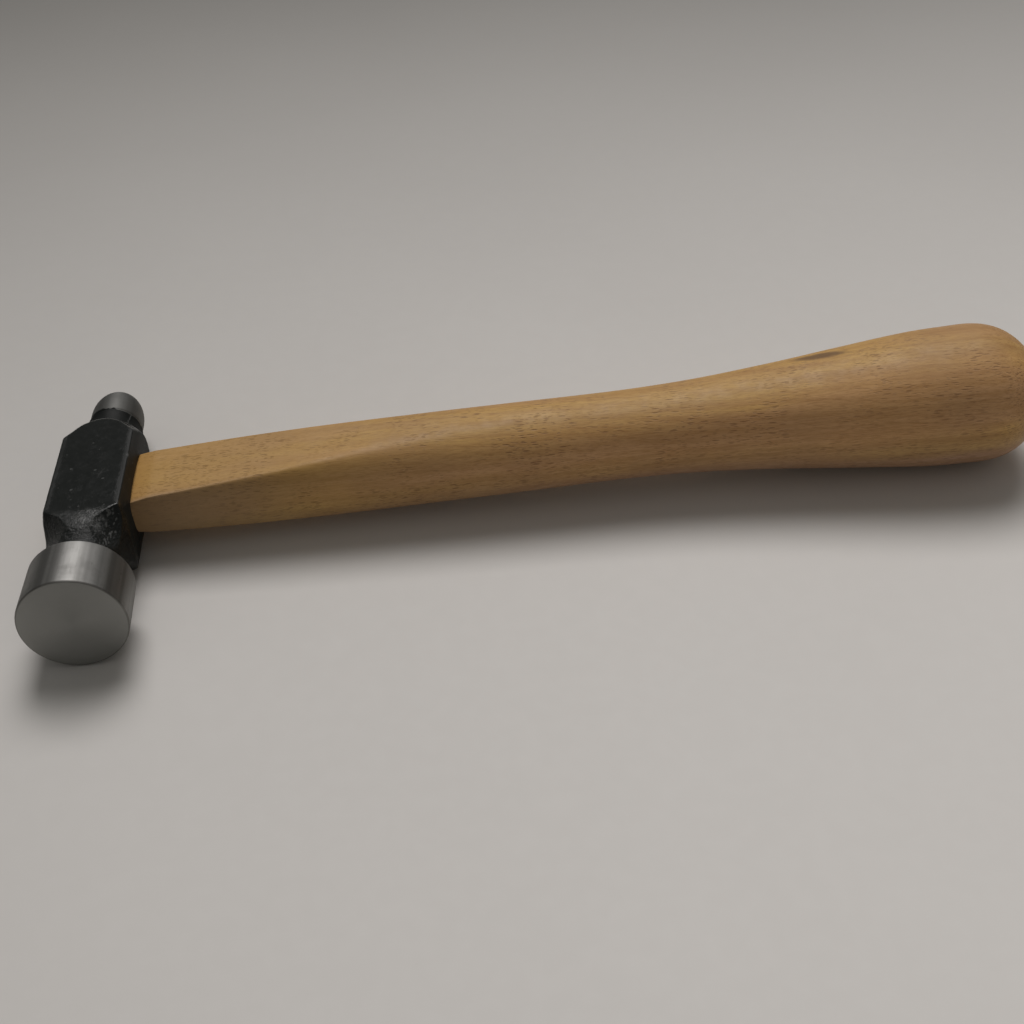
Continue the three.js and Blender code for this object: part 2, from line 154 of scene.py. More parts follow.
def rows_of(points, longest, turn=math.radians(9)):
    """Fewer points: a step is at most longest(point) and turns by at most an angle."""
    d = np.diff(points, axis=0)
    length = np.linalg.norm(d, axis=1)
    heading = np.unwrap(np.arctan2(d[:, 1], d[:, 0]))
    bend = np.abs(np.gradient(heading))
    weight = length / np.array([longest(p) for p in points[:-1]]) + bend / turn
    s = np.concatenate([[0], np.cumsum(weight)])
    at = np.linspace(0, s[-1], int(s[-1]) + 1)
    return np.stack([np.interp(at, s, points[:, k]) for k in (0, 1)], 1)


def turned_line():
    """The turned blank: place along the axis and radius, from the face to the top of the ball."""
    line = outline(
        (FACE_Y, 0),
        ((FACE_Y, FACE_FLAT_RADIUS),),
        (
            (FACE_Y, (FACE_FLAT_RADIUS + FACE_RIM_RADIUS) / 2),
            (FACE_Y + FACE_RIM_DROP, FACE_RIM_RADIUS),
        ),
        ((FACE_Y + POLL_ROUND, POLL_RADIUS),),
        ((POLL_REAR_Y - POLL_ROUND, POLL_REAR_RADIUS),),
        ((POLL_REAR_Y, POLL_REAR_RADIUS), (POLL_REAR_Y, POLL_REAR_RADIUS - POLL_ROUND)),
        ((POLL_REAR_Y + POLL_WALL_LEAN, POLL_NECK_RADIUS + POLL_FILLET),),
        ((POLL_REAR_Y + POLL_ROUND, POLL_NECK_RADIUS), (POLL_NECK_Y[0], POLL_NECK_RADIUS)),
        ((POLL_NECK_Y[1], POLL_NECK_RADIUS),),
        (POLL_NECK_BEND, (BODY_Y[0], BODY_RADIUS)),
        ((BODY_Y[1], BODY_RADIUS),),
        ((SHOULDER_Y - SHOULDER_ROUND, SHOULDER_RADIUS + SHOULDER_ROUND),),
        (
            (SHOULDER_Y, SHOULDER_RADIUS),
            (SHOULDER_Y + SHOULDER_ROUND / 2, SHOULDER_RADIUS - SHOULDER_ROUND),
        ),
        ((NECK_HOLLOW_Y, NECK_RADIUS), (NECK_Y, NECK_RADIUS)),
        (BEAD_START, (BEAD_Y, BEAD_RADIUS)),
        ((GROOVE_Y, GROOVE_RADIUS),),
        (((GROOVE_Y + BALL_SKIRT_Y) / 2, BALL_RADIUS), (BALL_SKIRT_Y, BALL_RADIUS)),
        ((BALL_DOME_Y, BALL_RADIUS),),
    )
    turn = np.linspace(0, math.pi / 2, 500)[1:]
    dome = BALL_END_Y - BALL_DOME_Y
    ball = np.stack([BALL_DOME_Y + dome * np.sin(turn), BALL_RADIUS * np.cos(turn)], 1)
    return np.concatenate([line, ball])


def facet_distance(y):
    """How far from the axis the four slanting facets are, at places along it."""
    line = outline(
        (FACET_POLL_Y, FACET_POLL_DISTANCE),
        ((FACET_POLL_Y, FACET_NECK_DISTANCE), (NECK_FLATS_Y[0], FACET_NECK_DISTANCE)),
        ((NECK_FLATS_Y[1], FACET_NECK_DISTANCE),),
        (FACET_BEND, (FACET_CLEAR_Y[0], OUTSIDE_BODY)),
        ((FACET_CLEAR_Y[1], OUTSIDE_BODY),),
        (FACET_CONE,),
        ((SHOULDER_Y, FACET_SHOULDER_DISTANCE),),
    )
    return np.interp(y, line[:, 0], line[:, 1], left=FAR, right=FAR)


def side_distance(y):
    """How far from the axis the two sides are: they draw in behind the poll."""
    line = outline(
        (NECK_FLATS_Y[0], SIDE_NECK_DISTANCE),
        ((NECK_FLATS_Y[1], SIDE_NECK_DISTANCE),),
        ((SIDE_BEND_Y, SIDE_NECK_DISTANCE), (SIDE_Y, CHEEK_HALF_X)),
    )
    return np.interp(y, line[:, 0], line[:, 1], left=FAR, right=CHEEK_HALF_X)


def ripple(points, size, seed):
    """Smooth noise from -1 to 1 at points, with lumps about a size across."""
    offset = Vector((seed, -seed, 0.5 * seed))
    return np.array([noise.noise(Vector(p) / size + offset) for p in points])


def smooth_step(value, start, end):
    t = np.clip((value - start) / (end - start), 0, 1)
    return t * t * (3 - 2 * t)


EDGE = 0.09  # how softly the head's corners are rounded
NEWTON_STEPS = 7


def head_points(sides):
    """Rings of points from the face to the ball's top: rows x sides x 3."""
    line = eased(evenly(turned_line(), 0.02), 0.07)
    painted = lambda y: PAINT_FRONT_Y < y < PAINT_BALL_Y
    rows = rows_of(line, lambda p: 0.3 if painted(p[0]) and p[1] > 3 else 0.8)
    rows = rows[1:-1]
    # the angles crowd together where the section has its corners
    fine = np.linspace(0, 2 * math.pi, 7200, endpoint=False)
    from_corner = np.abs((fine % (math.pi / 2)) - math.pi / 4)
    weight = 1 + 1.3 * np.exp(-((from_corner / math.radians(13)) ** 2))
    angles = np.interp(np.arange(sides) / sides, np.cumsum(weight) / weight.sum(), fine)
    direction = np.stack([np.cos(angles), np.sin(angles)], 1)
    y, turned = rows[:, :1], rows[:, 1:]
    # every plane that cuts the blank: its direction in XZ and its distance from the axis
    lean = np.array([CHEEK_HALF_Z - LEAN_Z, CHEEK_HALF_X - LEAN_X])
    lean /= np.linalg.norm(lean)
    lean_distance = lean @ np.array([LEAN_X, CHEEK_HALF_Z])
    outside_poll = np.where(y > CHEEK_CUT_START_Y, 0, FAR)
    planes = []
    for a in (-1, 1):
        planes.append(((0, a), CHEEK_HALF_Z + outside_poll))
        planes.append(((a, 0), side_distance(y)))
        for b in (-1, 1):
            planes.append(((a * lean[0], b * lean[1]), lean_distance + outside_poll))
            planes.append(((a * math.sqrt(0.5), b * math.sqrt(0.5)), facet_distance(y)))
    shape = (len(rows), sides)
    closeness = np.stack([np.broadcast_to(direction @ np.array(n), shape) for n, _ in planes])
    distance = np.stack([np.broadcast_to(d, shape) for _, d in planes])
    closeness = np.concatenate([closeness, np.ones((1, *shape))])
    distance = np.concatenate([distance, np.broadcast_to(turned, (1, *shape))])
    # the smooth smallest radius that every one of them allows, its corners rounded by EDGE;
    # a plane that a direction hardly faces doesn't limit it
    least = 0.05
    allowed = np.where(closeness > least, distance / np.maximum(closeness, least), FAR)
    radius = allowed.min(0)
    for _ in range(NEWTON_STEPS):
        e = np.exp(np.clip((radius * closeness - distance) / EDGE, -60, 60))
        total = e.sum(0)
        radius = radius - EDGE * np.log(total) * total / np.maximum((closeness * e).sum(0), 1e-6)
    radius = np.minimum(radius, np.broadcast_to(turned, radius.shape))
    points = np.stack(
        [radius * direction[:, 0], np.broadcast_to(y, radius.shape), radius * direction[:, 1]], 2
    )
    # a forged and painted skin in the middle, ground flats so slight that only light shows them
    flat = points.reshape(-1, 3)
    skin = smooth_step(flat[:, 1], PAINT_FRONT_Y, -24.5) * (1 - smooth_step(flat[:, 1], 23.3, 24.2))
    rough = smooth_step(flat[:, 1], -25, -22) * (1 - smooth_step(flat[:, 1], -16, -12.5))
    lumps = 0.05 * ripple(flat, 3.1, 3) + 0.022 * ripple(flat, 1.05, 5)
    lumps += rough * (0.04 * ripple(flat, 0.75, 8) + 0.03 * ripple(flat, 0.45, 9))
    ground = np.stack([direction[:, 0], 0 * angles, direction[:, 1]], 1)
    ground = np.tile(0.025 * ripple(ground, 0.33, 2), len(rows))
    on_poll = 1 - smooth_step(flat[:, 1], -26.8, -26.4)
    around_face = smooth_step(radius.reshape(-1), 7, 9.5)
    push = skin * lumps + on_poll * around_face * ground
    outward = np.tile(direction, (len(rows), 1))
    flat[:, 0] += push * outward[:, 0]
    flat[:, 2] += push * outward[:, 1]
    return flat.reshape(points.shape)


# ---- sizes of the eye and the handle, as in the CAD part ----

EYE_X = [-CHEEK_HALF_X, -1, 1, CHEEK_HALF_X]
EYE_HALF_Y = [8.8, 8.5, 8.5, 8.9]
EYE_HALF_Z = [4.3, 3.6, 3.6, 3.9]
EYE_POWER = 4
SHAFT_X = [8, 20, 40, 60, 80, 105, 120, 135, 150, 165, 175]
SHAFT_HALF_Y = [8.65, 8.8, 9.05, 9.3, 9.4, 9.4, 9.95, 11.2, 12.9, 14.45, 14.8]
SHAFT_HALF_Z = [8.4, 8.45, 8.5, 8.5, 8.5, 8.45, 8.9, 10.05, 11.55, 12.95, 13.25]
SHAFT_POWER = [2.6, 2.55, 2.35, 2.2, 2.15, 2.1, 2.1, 2.1, 2.1, 2.1, 2.1]
FLAT_X = [CHEEK_HALF_X, 11, 200]  # the shaved flats spread until they run out of the oval
FLAT_SPREAD = 0.0715
FLAT_HALF_Z = [3.6, 4.25, 4.25 + (FLAT_X[2] - FLAT_X[1]) * FLAT_SPREAD]
FLAT_EDGE_X = (11, 45, 80)
FLAT_EDGE_ROUND = (0.35, 0.6, 1.3)
CAP_START_X = 175
CAP_POWER = 2.5
HANDLE_END_X = 189.5
SHOULDER_START_X = 6.4  # the tenon turns into the shaft just inside the eye's mouth
SHOULDER_END_X = 7.9
FIT = 0.06  # the hairline left round the tenon and the wedges
KERF_X = (-CHEEK_HALF_X, 2)
KERF_HALF_Z = (1.25, 0.55)
WOODEN_WEDGE_X = (-8.35, 1.2)
WOODEN_WEDGE_HALF_Y = 7.3
STEEL_WEDGE_X = (-8.3, -2.6)
STEEL_WEDGE_HALF_Y = (0.8, 0.25)
STEEL_WEDGE_HALF_Z = 2.7


def track(x, stations, values):
    """A smooth curve through values at stations."""
    at, v = np.array(stations, float), np.array(values, float)
    last = len(at) - 1
    k = np.arange(last + 1)
    before, after = np.maximum(k - 1, 0), np.minimum(k + 1, last)
    slope = (v[after] - v[before]) / (at[after] - at[before])
    x = np.clip(x, at[0], at[-1])
    i = np.clip(np.searchsorted(at, x, "right") - 1, 0, last - 1)
    span = at[i + 1] - at[i]
    t = (x - at[i]) / span
    rise, start, end = v[i + 1] - v[i], slope[i] * span, slope[i + 1] * span
    return v[i] + t * start + t**2 * (3 * rise - 2 * start - end) + t**3 * (start + end - 2 * rise)


def superellipse(angle, half_y, half_z, power):
    bend = lambda value: np.sign(value) * np.abs(value) ** (2 / power)
    return half_y * bend(np.cos(angle)), half_z * bend(np.sin(angle))


def rounded_minimum(a, b, width):
    share = np.clip(0.5 + 0.5 * (b - a) / width, 0, 1)
    return a * share + b * (1 - share) - width * share * (1 - share)


def handle_points(sides):
    """Rings of points from the tenon's end to the tip of the grip: rows x sides x 3."""
    cap = CAP_START_X + (HANDLE_END_X - CAP_START_X) * np.sin(np.linspace(0, math.pi / 2, 34))
    x = np.concatenate(
        [
            np.linspace(-CHEEK_HALF_X, 5.5, 22)[:-1],
            np.linspace(5.5, 11, 23)[:-1],
            np.linspace(11, CAP_START_X, 220)[:-1],
            cap[:-1],
            [HANDLE_END_X - 0.004],
        ]
    )[:, None]
    angle = np.arange(sides) * 2 * math.pi / sides
    tenon_y, tenon_z = superellipse(
        angle, track(x, EYE_X, EYE_HALF_Y) - FIT, track(x, EYE_X, EYE_HALF_Z) - FIT, EYE_POWER
    )
    along = np.clip((x - CAP_START_X) / (HANDLE_END_X - CAP_START_X), 0, 1)
    share = np.sqrt(1 - along**CAP_POWER)
    oval_y, oval_z = superellipse(
        angle,
        track(x, SHAFT_X, SHAFT_HALF_Y) * share,
        track(x, SHAFT_X, SHAFT_HALF_Z) * share,
        track(x, SHAFT_X, SHAFT_POWER),
    )
    # the flats are shaved by hand, so their edges waver a little
    waver = np.array([noise.noise(Vector((v / 9, 3.3, 0))) for v in x[:, 0]])[:, None]
    flats = np.interp(x, FLAT_X, FLAT_HALF_Z) + 0.07 * waver * smooth_step(x, 12, 20)
    edge = np.interp(x, FLAT_EDGE_X, FLAT_EDGE_ROUND)
    shaved = np.maximum(rounded_minimum(np.abs(oval_z), flats, edge), 0)
    blend = smooth_step(x, SHOULDER_START_X, SHOULDER_END_X)
    y = tenon_y + (oval_y - tenon_y) * blend
    z = tenon_z + (np.sign(oval_z) * shaved - tenon_z) * blend
    points = np.stack([np.broadcast_to(x, y.shape), y, z], 2)
    flat = points.reshape(-1, 3)
    around = flat * np.array([0.35, 1, 1])
    swell = 1 + smooth_step(flat[:, 0], 9, 16) * 0.004 * ripple(around, 5.5, 21)
    flat[:, 1:] *= swell[:, None]
    return points


# ---- meshes ----


def add_piece(name, mesh):
    piece = bpy.data.objects.new(name, mesh)
    bpy.context.scene.collection.objects.link(piece)
    return piece


def ringed(name, rings, first, last):
    """A closed skin over rings of points, closed at both ends by fans to two points."""
    rows, sides = rings.shape[:2]
    points = np.concatenate([rings.reshape(-1, 3), [first, last]]) * MM
    row, side = np.meshgrid(np.arange(rows - 1), np.arange(sides), indexing="ij")
    after = (side + 1) % sides
    a, b = row * sides + side, row * sides + after
    quads = np.stack([a, b, b + sides, a + sides], 2).reshape(-1, 4)
    k = np.arange(sides)
    following = (k + 1) % sides
    top = (rows - 1) * sides
    start = np.stack([following, k, np.full(sides, rows * sides)], 1)
    end = np.stack([top + k, top + following, np.full(sides, rows * sides + 1)], 1)
    mesh = bpy.data.meshes.new(name)
    mesh.from_pydata(points.tolist(), [], quads.tolist() + start.tolist() + end.tolist())
    work = bmesh.new()
    work.from_mesh(mesh)
    bmesh.ops.recalc_face_normals(work, faces=work.faces)
    work.to_mesh(mesh)
    work.free()
    return add_piece(name, mesh)


def cut(piece, cutter):
    """Takes the cutter's solid out of the piece, and removes the cutter."""
    modifier = piece.modifiers.new("cut", "BOOLEAN")
    modifier.operation = "DIFFERENCE"
    modifier.solver = "EXACT"
    modifier.object = cutter
    bpy.context.view_layer.update()
    graph = bpy.context.evaluated_depsgraph_get()
    mesh = bpy.data.meshes.new_from_object(piece.evaluated_get(graph))
    piece.modifiers.clear()
    piece.data = mesh
    bpy.data.objects.remove(cutter)


def eye_cutter():
    """A bar through the eye that flares where the eye's mouths are rounded over."""
    lip, beyond = 0.3, 9.5
    turn = np.linspace(0, math.pi / 2, 7)
    mouth = CHEEK_HALF_X + 0.05 - lip * np.cos(turn)
    flare = lip * (1 - np.sin(turn[::-1]))
    inner = np.linspace(-mouth[0], mouth[0], 24)[1:-1]
    x = np.concatenate([[-beyond], -mouth[::-1], inner, mouth, [beyond]])
    grow = np.concatenate([[lip], flare[::-1], 0 * inner, flare, [lip]])
    angle = np.arange(160) * 2 * math.pi / 160
    y, z = superellipse(
        angle,
        (track(x, EYE_X, EYE_HALF_Y) + grow)[:, None],
        (track(x, EYE_X, EYE_HALF_Z) + grow)[:, None],
        EYE_POWER,
    )
    rings = np.stack([np.broadcast_to(x[:, None], y.shape), y, z], 2)
    return ringed("eye_cutter", rings, (-beyond, 0, 0), (beyond, 0, 0))


def prism(name, corners, depth, across, bevel=0.0, cuts=0):
    """A flat solid: its outline in the plane of X and one more axis, its depth along the other."""
    work = bmesh.new()
    for side in (-depth, depth):
        ring = []
        for x, other in corners:
            place = (x, other, side) if across == "y" else (x, side, other)
            ring.append(work.verts.new(Vector(place) * MM))
        work.faces.new(ring)
    work.verts.ensure_lookup_table()
    count = len(corners)
    for i in range(count):
        j = (i + 1) % count
        work.faces.new([work.verts[k] for k in (i, j, j + count, i + count)])
    if bevel:
        bmesh.ops.bevel(
            work, geom=work.edges[:], offset=bevel * MM, segments=3, profile=0.6, affect="EDGES"
        )
    if cuts:
        long_edges = [e for e in work.edges if e.calc_length() > 0.5 * MM]
        bmesh.ops.subdivide_edges(work, edges=long_edges, cuts=cuts, use_grid_fill=True)
    bmesh.ops.recalc_face_normals(work, faces=work.faces)
    mesh = bpy.data.meshes.new(name)
    work.to_mesh(mesh)
    work.free()
    return add_piece(name, mesh)


def kerf_half(x):
    return np.interp(x, KERF_X, KERF_HALF_Z)


def wedge_corners(span, halves):
    (x0, x1), (h0, h1) = span, halves
    return [(x0, -h0), (x1, -h1), (x1, h1), (x0, h0)]


def steel_wedge_cutter():
    grown = [h + FIT for h in STEEL_WEDGE_HALF_Y]
    span = (STEEL_WEDGE_X[0] - 1, STEEL_WEDGE_X[1] + FIT)
    return prism("slot_cutter", wedge_corners(span, grown), STEEL_WEDGE_HALF_Z + FIT, "y")


def hammered(piece, amount, seed):
    """Dents the end that the hammer blows drove in."""
    for v in piece.data.vertices:
        top = float(smooth_step(-v.co.x / MM, 7.9, 8.25))
        dent = noise.noise(Vector(v.co) / (1.1 * MM) + Vector((seed,) * 3))
        v.co.x += amount * MM * top * dent


HEAD_SIDES = 288
HANDLE_SIDES = 192
KERF_DEPTH = 15  # more than the tenon's half width, so that the saw cut goes right across
WEDGE_BEVEL = 0.12
WEDGE_CUTS = 6

head = ringed("head_forging", head_points(HEAD_SIDES), (0, FACE_Y, 0), (0, BALL_END_Y, 0))
cut(head, eye_cutter())

tenon_end, grip_end = (-CHEEK_HALF_X, 0, 0), (HANDLE_END_X, 0, 0)
handle = ringed("handle_turning", handle_points(HANDLE_SIDES), tenon_end, grip_end)
kerf = wedge_corners((KERF_X[0] - 1, KERF_X[1]), (KERF_HALF_Z[0] + 0.07, KERF_HALF_Z[1]))
cut(handle, prism("kerf_cutter", kerf, KERF_DEPTH, "z"))
cut(handle, steel_wedge_cutter())

wedge_halves = [float(kerf_half(x)) - FIT for x in WOODEN_WEDGE_X]
wooden_wedge = prism(
    "wooden_wedge_strip",
    wedge_corners(WOODEN_WEDGE_X, wedge_halves),
    WOODEN_WEDGE_HALF_Y,
    "z",
    WEDGE_BEVEL,
    WEDGE_CUTS,
)
cut(wooden_wedge, steel_wedge_cutter())
hammered(wooden_wedge, 0.25, 4)

steel_wedge = prism(
    "steel_wedge_blade",
    wedge_corners(STEEL_WEDGE_X, STEEL_WEDGE_HALF_Y),
    STEEL_WEDGE_HALF_Z,
    "y",
    WEDGE_BEVEL,
    WEDGE_CUTS,
)
hammered(steel_wedge, 0.2, 7)

# ---- materials ----

# marks on the upper cheek and the slope behind the poll, in the hammer's frame
CHEEK_SPECKS = ((-3.7, -0.6, 8), (-2.7, -7.8, 8), (1.2, -2, 8), (3.1, -5.1, 8))
# the rubbed patch is partly rubbed wear and partly painted highlights on the orange peel
RUBBED_AND_GLINT_PATCH = (1.7, -17.7, 7)
GRIP_MARK = (145.7, 3.4, 10.8)  # a brown mineral streak in the wood of the grip

# colours of the head: pairs run from the darker to the lighter shade
# the poll's and the ball's pairs are the dark and light of the painted reflection bands
POLL_STEEL = ((0.17, 0.169, 0.162), (0.31, 0.308, 0.298))
BALL_STEEL = ((0.155, 0.156, 0.149), (0.18, 0.18, 0.173))
FACE_STEEL = ((0.27, 0.271, 0.257), (0.36, 0.36, 0.345))
SMUDGED_STEEL = (0.15, 0.148, 0.14)
SCRATCHED_STEEL = (0.14, 0.138, 0.13)
RIM_STEEL = (0.15, 0.145, 0.135)
NICK = (0.1, 0.095, 0.085)
ENAMEL = ((0.0065, 0.0083, 0.0077), (0.0105, 0.0125, 0.0118))
DUSTY_ENAMEL = (0.055, 0.058, 0.056)
CHIPPED_ENAMEL = (0.16, 0.162, 0.158)
SPECK = (0.17, 0.175, 0.172)
RUBBED_AND_GLINT_ENAMEL = (0.24, 0.245, 0.242)
WORN_AND_GLINT_ENAMEL = (0.13, 0.133, 0.13)
NECK_SHADE_ENAMEL = (0.004, 0.005, 0.0045)

# colours of the wood; the two painted-light tints multiply each channel
BEECH_LIGHT = (0.60, 0.363, 0.1)
BEECH_DARK = (0.53, 0.312, 0.112)
BEECH_FLECK = (0.215, 0.103, 0.035)
MINERAL_STREAK = (0.14, 0.072, 0.028)
GOLDEN_WOOD = (0.56, 0.335, 0.07)
POOLED_VARNISH = (0.52, 0.27, 0.06)
UNDERSIDE_PAINTED_LIGHT = (0.97, 1.05, 1.62)
NEAR_SIDE_PAINTED_LIGHT = (1.2, 1.2, 1.36)
NEAR_HEAD_DARKENING = (0.3, 0.215, 0.15)
HANDLED_WOOD = (0.33, 0.19, 0.095)
WEDGE_WOOD_LIGHT = (0.56, 0.39, 0.22)
WEDGE_WOOD_DARK = (0.42, 0.27, 0.14)
WEDGE_WOOD_FLECK = (0.22, 0.12, 0.06)
WEDGE_WOOD_DIRT = (0.19, 0.13, 0.08)
WEDGE_STEEL = ((0.36, 0.35, 0.33), (0.6, 0.59, 0.57))
WEDGE_STAIN = (0.2, 0.16, 0.12)

# growth rings about a pith well outside the handle, and the short flecks across them
PITH_Y, PITH_Z = -31.0, -42.0
RINGS_PER_MM = 0.36
BOLD_FLECK = (2.7, 0.46)  # length and width
SMALL_FLECK = (1.5, 0.27)


class Shader:
    """Builds one material's nodes. Positions are in millimetres in the hammer's frame."""

    def __init__(self, name):
        self.material = bpy.data.materials.new(name)
        self.material.use_nodes = True
        self.tree = self.material.node_tree
        self.surface = self.tree.nodes["Principled BSDF"]
        place = self.tree.nodes.new("ShaderNodeTexCoord")
        inputs = {
            "Vector": place.outputs["Object"],
            "Location": HAMMER.translation,
            "Rotation": HAMMER.to_euler(),
            "Scale": (MM, MM, MM),
        }
        self.position = self.node("Mapping", inputs, vector_type="TEXTURE").outputs[0]

    def put(self, socket, value):
        if isinstance(value, bpy.types.NodeSocket):
            self.tree.links.new(value, socket)
        else:
            socket.default_value = value

    def node(self, kind, inputs=(), **settings):
        made = self.tree.nodes.new("ShaderNode" + kind)
        for key, value in settings.items():
            setattr(made, key, value)
        for key, value in dict(inputs).items():
            self.put(made.inputs[key], value)
        return made

    def mapped(self, vector, scale=(1, 1, 1), shift=(0, 0, 0), turn=(0, 0, 0)):
        inputs = {"Vector": vector, "Scale": scale, "Location": shift, "Rotation": turn}
        return self.node("Mapping", inputs).outputs[0]

    def math(self, operation, a, b=0.0):
        return self.node("Math", {0: a, 1: b}, operation=operation).outputs[0]

    def split(self, vector):
        return self.node("SeparateXYZ", {0: vector}).outputs

    def noise(self, vector, scale, detail=3.0, roughness=0.5, distortion=0.0):
        inputs = {
            "Vector": vector,
            "Scale": scale,
            "Detail": detail,
            "Roughness": roughness,
            "Distortion": distortion,
        }
        return self.node("TexNoise", inputs).outputs["Fac"]

    def cells(self, vector, scale):
        return self.node("TexVoronoi", {"Vector": vector, "Scale": scale}).outputs

    def remap(self, value, low, high, to_low=0.0, to_high=1.0):
        inputs = {
            "Value": value,
            "From Min": low,
            "From Max": high,
            "To Min": to_low,
            "To Max": to_high,
        }
        return self.node("MapRange", inputs, interpolation_type="SMOOTHSTEP").outputs[0]

    def mix(self, share, a, b):
        """From colour a to colour b by a share."""
        made = self.node("Mix", data_type="RGBA")
        self.put(made.inputs[0], share)
        for socket, value in ((made.inputs[6], a), (made.inputs[7], b)):
            self.put(socket, value if isinstance(value, bpy.types.NodeSocket) else (*value, 1))
        return made.outputs[2]

    def tinted(self, share, colour, factors):
        """The colour, each channel multiplied by its factor as far as the share says."""
        made = self.node("Mix", data_type="RGBA", blend_type="MULTIPLY")
        self.put(made.inputs[0], share)
        self.put(made.inputs[6], colour)
        self.put(made.inputs[7], (*factors, 1))
        return made.outputs[2]

    def between(self, share, a, b):
        """From number a to number b by a share."""
        made = self.node("Mix", data_type="FLOAT")
        self.put(made.inputs[0], share)
        self.put(made.inputs[2], a)
        self.put(made.inputs[3], b)
        return made.outputs[0]

    def bump(self, height, distance):
        inputs = {"Height": height, "Distance": distance * MM, "Strength": 1.0}
        return self.node("Bump", inputs).outputs[0]

    def length(self, a, b):
        """The length of the two-number vector (a, b)."""
        squares = self.math("ADD", self.math("MULTIPLY", a, a), self.math("MULTIPLY", b, b))
        return self.math("POWER", squares, 0.5)

    def from_spot(self, spot):
        """How far each place is from a spot."""
        inputs = {0: self.position, 1: spot}
        return self.node("VectorMath", inputs, operation="DISTANCE").outputs["Value"]

    def finish(self, **inputs):
        for key, value in inputs.items():
            socket = self.surface.inputs[key.replace("_", " ")]
            if isinstance(value, tuple) and len(value) == 3:
                value = (*value, 1)
            self.put(socket, value)
        return self.material


